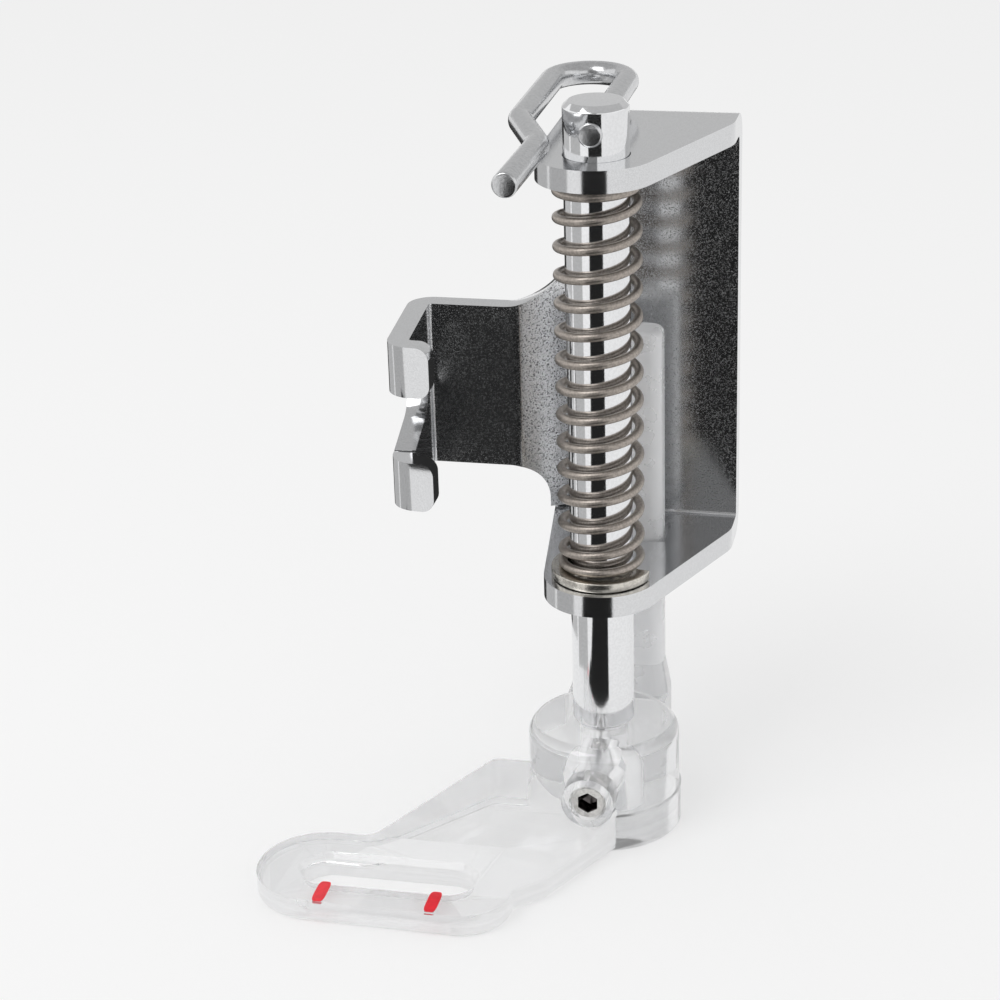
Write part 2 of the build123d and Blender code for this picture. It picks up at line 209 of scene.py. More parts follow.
def grid_object(name, points, caps=False):
    """Object from a grid of points (rows u, columns v), in millimetres.

    Each cell of the grid is one quad, and the last column joins the first. Caps close the
    first and last row with one face each.
    """
    rows, columns = points.shape[:2]
    index = np.arange(rows * columns).reshape(rows, columns)
    index = np.hstack([index, index[:, :1]])
    quads = np.stack([index[:-1, :-1], index[:-1, 1:], index[1:, 1:], index[1:, :-1]], axis=-1)
    faces = quads.reshape(-1, 4).tolist()
    if caps:
        faces.append(np.arange(columns)[::-1].tolist())
        faces.append(np.arange((rows - 1) * columns, rows * columns).tolist())
    mesh = bpy.data.meshes.new(name)
    mesh.from_pydata((points.reshape(-1, 3) * MM).tolist(), [], faces)
    return finished(name, mesh)


def finished(name, mesh, sharp=40.0):
    """Object of a mesh with its doubles merged, faces outwards and edges sharp past an angle."""
    work = bmesh.new()
    work.from_mesh(mesh)
    bmesh.ops.remove_doubles(work, verts=work.verts, dist=GRID_MERGE * MM)
    bmesh.ops.recalc_face_normals(work, faces=work.faces)
    work.to_mesh(mesh)
    work.free()
    mesh.polygons.foreach_set("use_smooth", np.ones(len(mesh.polygons), dtype=bool))
    mesh.set_sharp_from_angle(angle=math.radians(sharp))
    piece = bpy.data.objects.new(name, mesh)
    bpy.context.scene.collection.objects.link(piece)
    return piece


def rounded_path(points, radii, steps):
    """Polyline through the points with each inner corner replaced by an arc.

    At a corner between unit directions a and b that turn by t, the arc of radius r starts
    r tan(t / 2) before the corner. Its points are the centre plus r (cos s, sin s) in the
    plane of a and b, for s from 0 to t.
    """
    points = np.asarray(points, dtype=float)
    pieces = [points[:1]]
    for before, corner, after, radius in zip(points[:-2], points[1:-1], points[2:], radii):
        a = (corner - before) / np.linalg.norm(corner - before)
        b = (after - corner) / np.linalg.norm(after - corner)
        turn = math.acos(float(np.clip(a @ b, -1.0, 1.0)))
        inward = b - (a @ b) * a
        inward = inward / np.linalg.norm(inward)
        start = corner - a * radius * math.tan(turn / 2)
        s = np.linspace(0.0, turn, steps)[:, None]
        pieces.append(start + radius * (np.sin(s) * a + (1.0 - np.cos(s)) * inward))
    pieces.append(points[-1:])
    return np.vstack(pieces)


def revolved(name, profile, around=128):
    """Surface of revolution about Z: (r cos v, r sin v, z) for each (r, z) of the profile."""
    v = np.linspace(0.0, 2 * math.pi, around, endpoint=False)
    radius = profile[:, 0][:, None]
    height = np.repeat(profile[:, 1:2], around, 1)
    points = np.stack([radius * np.cos(v), radius * np.sin(v), height], axis=-1)
    return grid_object(name, points)


def tube_grid(path, radius, side, up, around):
    """Circle carried along a path: p + r (cos v side + sin v up), radius given for each point."""
    v = np.linspace(0.0, 2 * math.pi, around, endpoint=False)[None, :, None]
    radius = np.broadcast_to(radius, len(path))[:, None, None]
    return path[:, None] + radius * (np.cos(v) * side[:, None] + np.sin(v) * up[:, None])


def edge_turns(mesh):
    """Angle at each edge between the normals of its two faces, in degrees."""
    edge = np.empty(len(mesh.loops), dtype=int)
    mesh.loops.foreach_get("edge_index", edge)
    sizes = np.empty(len(mesh.polygons), dtype=int)
    mesh.polygons.foreach_get("loop_total", sizes)
    normals = np.empty(3 * len(sizes))
    mesh.polygons.foreach_get("normal", normals)
    face = np.repeat(np.arange(len(sizes)), sizes)
    pairs = normals.reshape(-1, 3)[face[np.argsort(edge, kind="stable")]].reshape(-1, 2, 3)
    return np.degrees(np.arccos(np.clip((pairs[:, 0] * pairs[:, 1]).sum(axis=1), -1.0, 1.0)))


def edge_middles(mesh):
    """Middle of each edge, in millimetres."""
    ends = np.empty(2 * len(mesh.edges), dtype=int)
    mesh.edges.foreach_get("vertices", ends)
    places = np.empty(3 * len(mesh.vertices))
    mesh.vertices.foreach_get("co", places)
    return places.reshape(-1, 3)[ends.reshape(-1, 2)].mean(axis=1) / MM


def soft_copy(node, name, edge, wide=None, bend=None, segments=3, sharp=32.0):
    """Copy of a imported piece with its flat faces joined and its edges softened.

    Each edge that turns past the sharp angle is rounded over the given width. Where wide is
    given, it takes the middles of the edges and gives the width of each. Where bend is given,
    it takes the corners of the faces, in millimetres, and gives their places after the bend.
    """
    work = bmesh.new()
    work.from_mesh(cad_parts[node].data)
    bmesh.ops.remove_doubles(work, verts=work.verts, dist=SOLID_MERGE * MM)
    bmesh.ops.dissolve_limit(
        work,
        angle_limit=math.radians(FLAT_TURN),
        use_dissolve_boundaries=False,
        verts=work.verts,
        edges=work.edges,
    )
    mesh = bpy.data.meshes.new(name)
    work.to_mesh(mesh)
    work.free()
    mesh.polygons.foreach_set("use_smooth", np.ones(len(mesh.polygons), dtype=bool))
    if bend:
        places = np.empty(3 * len(mesh.vertices))
        mesh.vertices.foreach_get("co", places)
        mesh.vertices.foreach_set("co", bend(places.reshape(-1, 3) / MM).ravel() * MM)
        mesh.update()
    middles = edge_middles(mesh)
    width = wide(middles) if wide else np.full(len(middles), edge)
    weight = np.where(edge_turns(mesh) > sharp, width / width.max(), 0.0)
    mesh.attributes.new("bevel_weight_edge", "FLOAT", "EDGE").data.foreach_set("value", weight)
    piece = bpy.data.objects.new(name, mesh)
    bpy.context.scene.collection.objects.link(piece)
    soften = piece.modifiers.new("edges", "BEVEL")
    soften.width = width.max() * MM
    soften.segments = segments
    soften.limit_method = "WEIGHT"
    soften.use_clamp_overlap = True
    even = piece.modifiers.new("shading", "WEIGHTED_NORMAL")
    even.mode = "FACE_AREA"
    even.weight = 100
    return piece


def face_places(mesh):
    """Middles of the faces, in millimetres, and their normals."""
    centres = np.empty(3 * len(mesh.polygons))
    normals = np.empty(3 * len(mesh.polygons))
    mesh.polygons.foreach_get("center", centres)
    mesh.polygons.foreach_get("normal", normals)
    return centres.reshape(-1, 3) / MM, normals.reshape(-1, 3)


def second_finish(piece, material, chosen):
    """Gives the chosen faces of a piece a finish of their own."""
    faces = piece.data.polygons
    piece.data.materials.append(material)
    kept = np.empty(len(faces), dtype=np.int32)
    faces.foreach_get("material_index", kept)
    own = len(piece.data.materials) - 1
    faces.foreach_set("material_index", np.where(chosen, own, kept).astype(np.int32))


def painted_stroke(name, centre, recess, stroke, depth, heap, around=64):
    """Paint in a recess, heaped a little over its rim.

    Each row is a rounded rectangle of half sizes a and b: at direction v it passes through
    (a c, b s), where c and s are the cosine and sine of v raised to 2 / n with their signs
    kept. The recess has a large n, and the heap falls as a quarter wave from its middle.
    """
    # Powers n, rows of the grid, the share of the size left for a cap, and how far below the rim
    # the recess's wall stops, in millimetres
    recess_n, heap_n = 12.0, 4.0
    recess_rows, heap_rows = 3, 8
    pole = 0.02
    below_rim = 0.02
    v = np.linspace(0.0, 2 * math.pi, around, endpoint=False)[None, :]
    fall = np.linspace(0.0, math.pi / 2, heap_rows + 1)[:-1]
    share = np.concatenate([[pole, 1.0, 1.0], np.cos(fall), [pole]])[:, None]
    height = np.concatenate([[-depth, -depth, -below_rim], heap * np.sin(fall), [heap]])[:, None]
    inlaid = (np.arange(len(share)) < recess_rows)[:, None]
    power = np.where(inlaid, 2.0 / recess_n, 2.0 / heap_n)
    c = np.sign(np.cos(v)) * np.abs(np.cos(v)) ** power
    s = np.sign(np.sin(v)) * np.abs(np.sin(v)) ** power
    a = share * np.where(inlaid, recess[0], stroke[0])
    b = share * np.where(inlaid, recess[1], stroke[1])
    points = np.stack([a * c, b * s, np.repeat(height, around, 1)], axis=-1) + centre
    return grid_object(name, points, caps=True)


def put(piece, body, node, material):
    """Gives a piece its finish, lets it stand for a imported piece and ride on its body."""
    piece.data.materials.clear()
    piece.data.materials.append(material)
    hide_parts(node)
    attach(piece, body)


# Shader groups and materials


def group_sockets(group, inputs, outputs):
    """Adds the named float inputs with their values, and the named outputs, to a group."""
    for name, value in inputs.items():
        socket = group.interface.new_socket(name, in_out="INPUT", socket_type="NodeSocketFloat")
        socket.default_value = value
    for name in outputs:
        group.interface.new_socket(name, in_out="OUTPUT", socket_type="NodeSocketFloat")


def add_node(tree, kind, **values):
    """New node in a tree, with its plain attributes set."""
    made = tree.nodes.new(kind)
    for name, value in values.items():
        setattr(made, name, value)
    return made


def in_millimetres(tree, size, *textures):
    """Lets textures read Object coordinates, with features of a size in millimetres."""
    place = add_node(tree, "ShaderNodeTexCoord")
    density = add_node(tree, "ShaderNodeMath", operation="DIVIDE")
    density.inputs[0].default_value = 1.0 / MM
    tree.links.new(size, density.inputs[1])
    for texture in textures:
        tree.links.new(place.outputs["Object"], texture.inputs["Vector"])
        tree.links.new(density.outputs[0], texture.inputs["Scale"])


def grain_group():
    """Speckle of a metal's skin: a height from noise and cells, and a mask from the noise.

    Size is the speckle's width in millimetres. The mask rises from nothing where the noise
    is at Low to all where it is at High.
    """
    if "Grain" in bpy.data.node_groups:
        return bpy.data.node_groups["Grain"]
    cell_share = 0.5
    tree = bpy.data.node_groups.new("Grain", "ShaderNodeTree")
    group_sockets(tree, {"Size": 0.12, "Low": 0.4, "High": 0.6}, ("Height", "Mask"))
    given = add_node(tree, "NodeGroupInput")
    out = add_node(tree, "NodeGroupOutput")
    fine = add_node(tree, "ShaderNodeTexNoise", noise_dimensions="3D")
    fine.inputs["Detail"].default_value = 2.0
    fine.inputs["Roughness"].default_value = 0.6
    cells = add_node(tree, "ShaderNodeTexVoronoi", feature="F1")
    in_millimetres(tree, given.outputs["Size"], fine, cells)
    height = add_node(tree, "ShaderNodeMath", operation="MULTIPLY_ADD")
    height.inputs[1].default_value = cell_share
    tree.links.new(cells.outputs["Distance"], height.inputs[0])
    tree.links.new(fine.outputs["Fac"], height.inputs[2])
    mask = add_node(tree, "ShaderNodeMapRange", interpolation_type="SMOOTHSTEP")
    tree.links.new(fine.outputs["Fac"], mask.inputs["Value"])
    tree.links.new(given.outputs["Low"], mask.inputs["From Min"])
    tree.links.new(given.outputs["High"], mask.inputs["From Max"])
    tree.links.new(height.outputs[0], out.inputs["Height"])
    tree.links.new(mask.outputs["Result"], out.inputs["Mask"])
    return tree


def smudge_group():
    """Slow unevenness of a surface, for gloss and tint: a value about Middle, give or take Spread."""
    if "Smudge" in bpy.data.node_groups:
        return bpy.data.node_groups["Smudge"]
    tree = bpy.data.node_groups.new("Smudge", "ShaderNodeTree")
    group_sockets(tree, {"Size": 3.0, "Middle": 0.2, "Spread": 0.1}, ("Value",))
    given = add_node(tree, "NodeGroupInput")
    out = add_node(tree, "NodeGroupOutput")
    cloud = add_node(tree, "ShaderNodeTexNoise", noise_dimensions="3D")
    cloud.inputs["Detail"].default_value = 4.0
    in_millimetres(tree, given.outputs["Size"], cloud)
    centred = add_node(tree, "ShaderNodeMath", operation="MULTIPLY_ADD")
    centred.inputs[1].default_value = 2.0
    centred.inputs[2].default_value = -1.0
    tree.links.new(cloud.outputs["Fac"], centred.inputs[0])
    value = add_node(tree, "ShaderNodeMath", operation="MULTIPLY_ADD")
    tree.links.new(centred.outputs[0], value.inputs[0])
    tree.links.new(given.outputs["Spread"], value.inputs[1])
    tree.links.new(given.outputs["Middle"], value.inputs[2])
    tree.links.new(value.outputs[0], out.inputs["Value"])
    return tree


def use_group(tree, group, **values):
    """Places a group in a material with its own values."""
    placed = add_node(tree, "ShaderNodeGroup", node_tree=group)
    for name, value in values.items():
        placed.inputs[name].default_value = value
    return placed


def new_material(name):
    """Empty material with a Principled shader on its output."""
    material = bpy.data.materials.new(name)
    material.use_nodes = True
    tree = material.node_tree
    tree.nodes.clear()
    shader = add_node(tree, "ShaderNodeBsdfPrincipled")
    output = add_node(tree, "ShaderNodeOutputMaterial")
    tree.links.new(shader.outputs["BSDF"], output.inputs["Surface"])
    return material, tree, shader


def tinted(tree, mask, plain, masked):
    """Mix of two colours, plain where the mask is nothing and masked where it is all."""
    mix = add_node(tree, "ShaderNodeMix", data_type="RGBA")
    mix.inputs["A"].default_value = (*plain, 1.0)
    mix.inputs["B"].default_value = (*masked, 1.0)
    tree.links.new(mask, mix.inputs["Factor"])
    return mix.outputs["Result"]


def bumped(tree, height, strength, depth):
    """Normal of a height field, its depth in millimetres."""
    bump = add_node(tree, "ShaderNodeBump")
    bump.inputs["Strength"].default_value = strength
    bump.inputs["Distance"].default_value = depth * MM
    tree.links.new(height, bump.inputs["Height"])
    return bump.outputs["Normal"]


def metal(name, tint, grain, depth, gloss, spread, specks=0.0, darker=0.82, low=0.4):
    """Plated or drawn metal: speckled tint, uneven gloss, duller specks and a fine skin.

    The grain's size and the skin's depth are in millimetres. Gloss is the middle roughness and
    spread is how far it wanders. A speck starts where the noise is at low and is full one band
    higher. It adds specks to the roughness and keeps the darker share of the tint.
    """
    band = 0.2
    material, tree, shader = new_material(name)
    skin = use_group(tree, grain_group(), Size=grain, Low=low, High=low + band)
    haze = use_group(tree, smudge_group(), Size=2.5, Middle=gloss, Spread=spread)
    dark = tuple(darker * part for part in tint)
    tree.links.new(tinted(tree, skin.outputs["Mask"], tint, dark), shader.inputs["Base Color"])
    dull = add_node(tree, "ShaderNodeMath", operation="MULTIPLY_ADD")
    dull.inputs[1].default_value = specks
    tree.links.new(skin.outputs["Mask"], dull.inputs[0])
    tree.links.new(haze.outputs["Value"], dull.inputs[2])
    tree.links.new(dull.outputs[0], shader.inputs["Roughness"])
    raised = bumped(tree, skin.outputs["Height"], strength=1.0, depth=depth)
    tree.links.new(raised, shader.inputs["Normal"])
    shader.inputs["Metallic"].default_value = 1.0
    return material


def clear_plastic(name, tint, clear, gloss, wave):
    """Moulded plastic with a faint flow in its skin, from water-clear to frosted.

    Clear is the share of light that passes, gloss is the middle roughness, and wave is the
    depth of the flow in millimetres.
    """
    uneven = 0.6
    material, tree, shader = new_material(name)
    flow = use_group(tree, smudge_group(), Size=1.6, Middle=0.5, Spread=0.5)
    haze = use_group(tree, smudge_group(), Size=2.0, Middle=gloss, Spread=uneven * gloss)
    tree.links.new(haze.outputs["Value"], shader.inputs["Roughness"])
    raised = bumped(tree, flow.outputs["Value"], strength=0.1, depth=wave)
    tree.links.new(raised, shader.inputs["Normal"])
    shader.inputs["Base Color"].default_value = (*tint, 1.0)
    shader.inputs["Transmission Weight"].default_value = clear
    shader.inputs["IOR"].default_value = 1.49
    return material


def mark_paint(name, tint):
    """Opaque paint rubbed into a recess, a little uneven."""
    darker = 0.78
    material, tree, shader = new_material(name)
    cloud = use_group(tree, smudge_group(), Size=0.35, Middle=0.5, Spread=0.9)
    dark = tuple(darker * part for part in tint)
    tree.links.new(tinted(tree, cloud.outputs["Value"], dark, tint), shader.inputs["Base Color"])
    haze = use_group(tree, smudge_group(), Size=0.5, Middle=0.35, Spread=0.1)
    tree.links.new(haze.outputs["Value"], shader.inputs["Roughness"])
    return material


# Pieces


class PRESSERFOOT_OT_bracket(bpy.types.Operator):
    """Folded and plated bracket, with the edges of its sheet softened"""

    bl_idname = "presser_foot.bracket"
    bl_label = "Bracket"

    def execute(self, context):
        own = settings().sheet
        left = node_box("bracket")[0][0]
        fork = left + TAB_REACH

        def wide(middles):
            """Width of each softened edge, more round the front of the tabs than elsewhere."""
            beside = middles[:, 0] < fork
            front = middles[beside, 1].min()
            return np.where(beside & (middles[:, 1] < front + own.edge), own.tab_edge, own.edge)

        def lean(places):
            """Tabs turned forwards: y less the tangent of the lean times the reach past the fold."""
            x, y, z = places.T
            past_fold = np.clip(x - left - SHEET, 0.0, None)
            tab = (x < fork) & (y < TAB_BACK)
            return np.stack([x, y - np.where(tab, math.tan(own.tab_lean) * past_fold, 0.0), z], axis=-1)

        piece = soft_copy("bracket", "bracket_sheet", own.edge, wide, lean)
        smooth = metal(
            "nickel_sheet", own.nickel, grain=own.grain, depth=0.0008, gloss=0.12, spread=0.04, darker=0.9
        )
        put(piece, "bracket", "bracket", smooth)
        # The plate and the arm take a darker copy of the nickel: painted shade
        shaded_nickel = metal(
            "shaded_nickel_sheet",
            own.shaded_nickel,
            grain=own.grain,
            depth=0.0016,
            gloss=0.115,
            spread=0.03,
            specks=0.45,
            darker=0.75,
            low=0.5,
        )
        # The step between the plate and the arm takes a near-white copy of the nickel: painted light
        lit_nickel = metal(
            "lit_nickel_sheet",
            own.lit_nickel,
            grain=0.11,
            depth=0.0016,
            gloss=0.23,
            spread=0.04,
            specks=0.1,
            darker=0.22,
            low=0.48,
        )
        centres, normals = face_places(piece.data)
        facing = np.abs(normals[:, 1])
        behind = centres[:, 1] > ARM_FRONT
        second_finish(piece, shaded_nickel, behind & (facing > SQUARE))
        step = (np.abs(normals[:, 2]) < LEVEL) & (facing > BROAD) & (facing <= SQUARE)
        second_finish(piece, lit_nickel, behind & step)
        return {"FINISHED"}


class PRESSERFOOT_OT_snap_ring(bpy.types.Operator):
    """Snap ring in the rod's groove"""

    bl_idname = "presser_foot.snap_ring"
    bl_label = "Snap ring"

    def execute(self, context):
        own = settings().sheet
        piece = soft_copy("retaining_ring", "snap_ring", own.ring_edge)
        finish = metal("ring_steel", own.ring, grain=0.2, depth=0.002, gloss=0.24, spread=0.08)
        put(piece, "plunger", "retaining_ring", finish)
        return {"FINISHED"}


class PRESSERFOOT_OT_rod(bpy.types.Operator):
    """Polished plunger rod, turned from its profile"""

    bl_idname = "presser_foot.rod"
    bl_label = "Plunger rod"

    def execute(self, context):
        own = settings().rod
        radius = (ROD_HIGH[0] - ROD_LOW[0]) / 2
        foot, top = ROD_LOW[2], ROD_HIGH[2]
        shoulder = foot + own.spigot
        turned = own.neck - own.spigot_gap
        bevel = own.chamfer
        corners = [
            (0.0, foot),
            (turned, foot),
            (turned, shoulder + bevel / 2),
            (radius - bevel, shoulder),
            (radius, shoulder + bevel),
            (radius, RING_LOW[2]),
            (turned, RING_LOW[2]),
            (turned, RING_HIGH[2]),
            (radius, RING_HIGH[2]),
            (radius, top - bevel),
            (radius - bevel, top),
            (0.0, top),
        ]
        soft = 0.06
        radii = [soft, soft, soft, 2 * soft, soft, soft, soft, soft, 2 * soft, 2 * soft]
        piece = revolved("rod", rounded_path(corners, radii, steps=6))
        finish = metal(
            "chrome_rod", own.chrome, grain=0.16, depth=0.0006, gloss=0.09, spread=0.02, darker=0.95
        )
        put(piece, "plunger", "plunger_rod", finish)
        return {"FINISHED"}


class PRESSERFOOT_OT_lift_wire(bpy.types.Operator):
    """Bent lifting wire, a circle carried along its bends"""

    bl_idname = "presser_foot.lift_wire"
    bl_label = "Lifting wire"

    def execute(self, context):
        own = settings().rod
        # The wire seen from above, in millimetres from the rod's axis: the depth of its short end and
        # of the loop's front, and the places of the finger pull's bend and tip
        short_end, loop_front = -2.1, 1.0
        knee, tip = (-2.6, -4.4), (-2.8, -12.7)
        nearly_half = 0.499
        rim_steps = 6
        radius = (WIRE_HIGH[2] - WIRE_LOW[2]) / 2
        level = (WIRE_HIGH[2] + WIRE_LOW[2]) / 2
        loop = -WIRE_LOW[0] - radius
        back = WIRE_HIGH[1] - radius
        corners = [
            (0.0, short_end, level),
            (0.0, back, level),
            (-loop, back, level),
            (-loop, loop_front, level),
            (*knee, level),
            (*tip, level),
        ]
        turn = nearly_half * loop
        path = rounded_path(corners, [turn, turn, own.wire_bend, own.wire_bend], steps=28)
        along = np.gradient(path, axis=0)
        along /= np.linalg.norm(along, axis=1, keepdims=True)
        up = np.tile([0.0, 0.0, 1.0], (len(path), 1))
        side = np.cross(along, up)
        rim = own.wire_end
        s = np.linspace(0.0, math.pi / 2, rim_steps)
        inset = rim * (1.0 - np.sin(s))
        start = path[0] + along[0] * (rim * (1.0 - np.cos(s)))[:, None]
        end = path[-1] - along[-1] * (rim * (1.0 - np.cos(s)))[::-1, None]
        path = np.vstack([start, path[1:-1], end])
        first_side = np.tile(side[0], (rim_steps, 1))
        last_side = np.tile(side[-1], (rim_steps, 1))
        side = np.vstack([first_side, side[1:-1], last_side])
        up = np.tile([0.0, 0.0, 1.0], (len(path), 1))
        between = np.full(len(path) - 2 * rim_steps, radius)
        radii = np.concatenate([radius - inset, between, radius - inset[::-1]])
        piece = grid_object("lift_wire_bent", tube_grid(path, radii, side, up, around=40), caps=True)
        finish = metal("chrome_wire", own.wire, grain=0.22, depth=0.003, gloss=0.2, spread=0.06, darker=0.9)
        put(piece, "plunger", "lift_wire", finish)
        return {"FINISHED"}


class PRESSERFOOT_OT_spring(bpy.types.Operator):
    """Compression spring with closed and ground ends"""

    bl_idname = "presser_foot.spring"
    bl_label = "Spring"

    def execute(self, context):
        own = settings().spring
        low, high = SPRING_LOW[2], SPRING_HIGH[2]
        # Air round the coil in millimetres, the share of the closed turns after which the pitch opens
        # and the turns that this takes, and the share of the wire's radius left at a ground end
        air = 0.02
        closed_share, opening = 0.75, 0.5
        ground = 0.6
        steps_a_turn = 72
        wire = own.wire / 2
        radius = (SPRING_HIGH[0] - SPRING_LOW[0]) / 2 - wire - air

        # The coil's centre line is (r cos v, r sin v, z). It rises by one wire a turn where it is
        # closed and by an even pitch where it is open, with a smooth step from one to the other
        steps = int(own.turns * steps_a_turn)
        turn = np.linspace(0.0, own.turns, steps + 1)
        nearest = np.minimum(turn, own.turns - turn)
        open_share = np.clip((nearest - own.closed * closed_share) / opening, 0.0, 1.0)
        open_share = open_share**2 * (3.0 - 2.0 * open_share)
        seat = low + ground * wire
        span = (high - low) - 2 * ground * wire
        lift = np.cumsum(np.vstack([np.full(steps + 1, own.wire), open_share]) / (steps / own.turns), axis=1)
        slack = (span - lift[0, -1]) / lift[1, -1]
        z = seat + lift[0] - lift[0, 0] + slack * (lift[1] - lift[1, 0])
        v = own.start + 2 * math.pi * turn
        out = np.stack([np.cos(v), np.sin(v), np.zeros_like(v)], axis=-1)
        path = radius * out + np.stack([0 * v, 0 * v, z], axis=-1)
        up = np.tile([0.0, 0.0, 1.0], (len(path), 1))
        points = tube_grid(path, wire, out, up, around=20)
        points[..., 2] = np.clip(points[..., 2], low, high)
        piece = grid_object("coil_spring", points, caps=True)
        finish = metal(
            "spring_steel", own.steel, grain=0.14, depth=0.004, gloss=0.36, spread=0.08, darker=0.75
        )
        put(piece, "bracket", "spring", finish)
        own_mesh(piece)
        return {"FINISHED"}


class PRESSERFOOT_OT_clear_foot(bpy.types.Operator):
    """Clear moulded foot with its frosted guide post"""

    bl_idname = "presser_foot.clear_foot"
    bl_label = "Clear foot"

    def execute(self, context):
        own = settings().foot
        piece = soft_copy("clear_foot", "foot_moulding", own.edge)
        clear = clear_plastic("clear_plastic", own.plastic, clear=0.86, gloss=0.06, wave=0.04)
        put(piece, "plunger", "clear_foot", clear)
        centres = face_places(piece.data)[0]
        frosted = clear_plastic("frosted_plastic", own.post, clear=0.3, gloss=0.3, wave=0.01)
        second_finish(piece, frosted, centres[:, 2] > own.frosted)
        return {"FINISHED"}


class PRESSERFOOT_OT_guide_marks(bpy.types.Operator):
    """Two red guide marks, painted in recesses of the ring"""

    bl_idname = "presser_foot.guide_marks"
    bl_label = "Guide marks"

    def execute(self, context):
        own = settings().foot
        low, high = node_box("guide_marks")
        middle = (low[1] + high[1]) / 2
        paint = mark_paint("red_paint", own.red)
        # Paint runs this far into the walls and floor of its recess, in millimetres
        bite = 0.01
        recess = np.array([own.recess, high[1] - low[1]]) / 2 + bite
        stroke = recess + (own.mark - own.recess) / 2
        depth = high[2] - low[2] + bite
        for name, across in (("left", low[0] + own.recess / 2), ("right", high[0] - own.recess / 2)):
            centre = (across, middle, high[2])
            piece = painted_stroke(f"guide_mark_{name}", centre, recess, stroke, depth, own.heap)
            put(piece, "plunger", "guide_marks", paint)
        return {"FINISHED"}


class PRESSERFOOT_OT_set_screw(bpy.types.Operator):
    """Headless set screw with a thread and a hexagon socket"""

    bl_idname = "presser_foot.set_screw"
    bl_label = "Set screw"

    def execute(self, context):
        own = settings().foot
        # Points and rows of the grid, then lengths in millimetres, then shares of the hexagon
        around, thread_rows = 96, 121
        air, pole = 0.01, 0.01
        rim, tip_bevel, drill_point = 0.05, 0.15, 0.3
        face_blank, tip_blank = 0.12, 0.25
        face_fade, tip_fade, fade = 0.1, 0.2, 0.3
        socket_past = 0.5
        drill_share, floor_share, socket_reach = 0.02, 0.9, 0.6
        radius = (SCREW_HIGH[0] - SCREW_LOW[0]) / 2 - air
        core = radius - own.thread
        level = (SCREW_HIGH[2] + SCREW_LOW[2]) / 2
        face, tip = SCREW_LOW[1], SCREW_HIGH[1]

        # Each row is (r cos v, y, level + r sin v). In the socket r follows a hexagon, and on the
        # thread a triangular wave that moves on by one pitch a turn and fades out at both ends
        v = np.linspace(0.0, 2 * math.pi, around, endpoint=False)
        depth = np.linspace(face + face_blank, tip - tip_blank, thread_rows)[:, None]
        wave = np.abs(2.0 * np.mod(depth / own.pitch - v / (2 * math.pi), 1.0) - 1.0)
        runout = np.clip(np.minimum(depth - face - face_fade, tip - tip_fade - depth) / fade, 0.0, 1.0)
        body = radius - own.thread * (1.0 - runout * (1.0 - wave))
        flat = own.socket / 2 / np.cos(np.mod(v + math.pi / 6, math.pi / 3) - math.pi / 6)
        floor = face + own.socket_depth
        radii = np.vstack(
            [
                drill_share * flat,
                floor_share * flat,
                flat,
                flat + rim,
                np.full((1, around), core - rim),
                body,
                np.full((1, around), core - tip_bevel),
                np.full((1, around), pole),
            ]
        )
        rows = [floor + drill_point, floor, face + rim, face, face]
        places = np.concatenate([rows, depth[:, 0], [tip, tip]])
        points = np.stack(
            [radii * np.cos(v), np.repeat(places[:, None], around, 1), level + radii * np.sin(v)], axis=-1
        )
        piece = grid_object("hex_set_screw", points, caps=True)
        finish = metal("dark_steel", own.screw, grain=0.2, depth=0.002, gloss=0.22, spread=0.06)
        put(piece, "plunger", "set_screw", finish)
        centres = face_places(piece.data)[0]
        reach = np.hypot(centres[:, 0], centres[:, 2] - level)
        inside = (reach < socket_reach * own.socket) & (centres[:, 1] < floor + socket_past)
        # The socket's inner faces take a near-black steel: painted shade in the hollow
        socket_shade = metal("painted_shade_socket", own.socket_shade, grain=0.2, depth=0.002, gloss=0.16, spread=0.06)
        second_finish(piece, socket_shade, inside)
        return {"FINISHED"}


# Stage


def card(name, corners, shade, through=False):
    """Card of one shade that shows in reflections, and through clear plastic where through is set.

    Its corners are in millimetres. The camera does not see it, and it casts no shadow.
    """
    mesh = bpy.data.meshes.new(name)
    mesh.from_pydata((np.array(corners) * MM).tolist(), [], [list(range(len(corners)))])
    sheet = bpy.data.objects.new(name, mesh)
    bpy.context.scene.collection.objects.link(sheet)
    material = bpy.data.materials.new(name)
    material.use_nodes = True
    tree = material.node_tree
    tree.nodes.clear()
    glow = add_node(tree, "ShaderNodeEmission")
    glow.inputs["Color"].default_value = (shade, shade, shade, 1.0)
    output = add_node(tree, "ShaderNodeOutputMaterial")
    tree.links.new(glow.outputs[0], output.inputs["Surface"])
    mesh.materials.append(material)
    sheet.visible_camera = False
    sheet.visible_diffuse = False
    sheet.visible_transmission = through
    sheet.visible_shadow = False


def sector(start, end, near, far, height=0.3, steps=9):
    """Corners of a level sector about the rod, between two directions in degrees from the front."""
    turn = np.radians(np.linspace(start, end, steps))
    ring = np.stack([np.sin(turn), -np.cos(turn), np.zeros(steps)], axis=-1)
    lift = np.array([0.0, 0.0, height])
    return np.vstack([ring * near + lift, (ring * far + lift)[::-1]])


def upright(left, right, depth, low, high):
    """Corners of an upright strip that faces the front, at one depth along Y."""
    return [(left, depth, low), (right, depth, low), (right, depth, high), (left, depth, high)]


def overhead(reach, height):
    """Corners of a level square over the object."""
    signs = ((-1, -1), (-1, 1), (1, 1), (1, -1))
    return [(across * reach, along * reach, height) for across, along in signs]


def wedge(near, far, height):
    """Corners of a level strip in front of the object, which widens away from it."""
    left_start, left_slope, right_slope = 9.0, 0.25, 0.55
    left = [(-left_start - left_slope * reach, -reach, height) for reach in (near, far)]
    right = [(right_slope * reach, -reach, height) for reach in (far, near)]
    return left + right


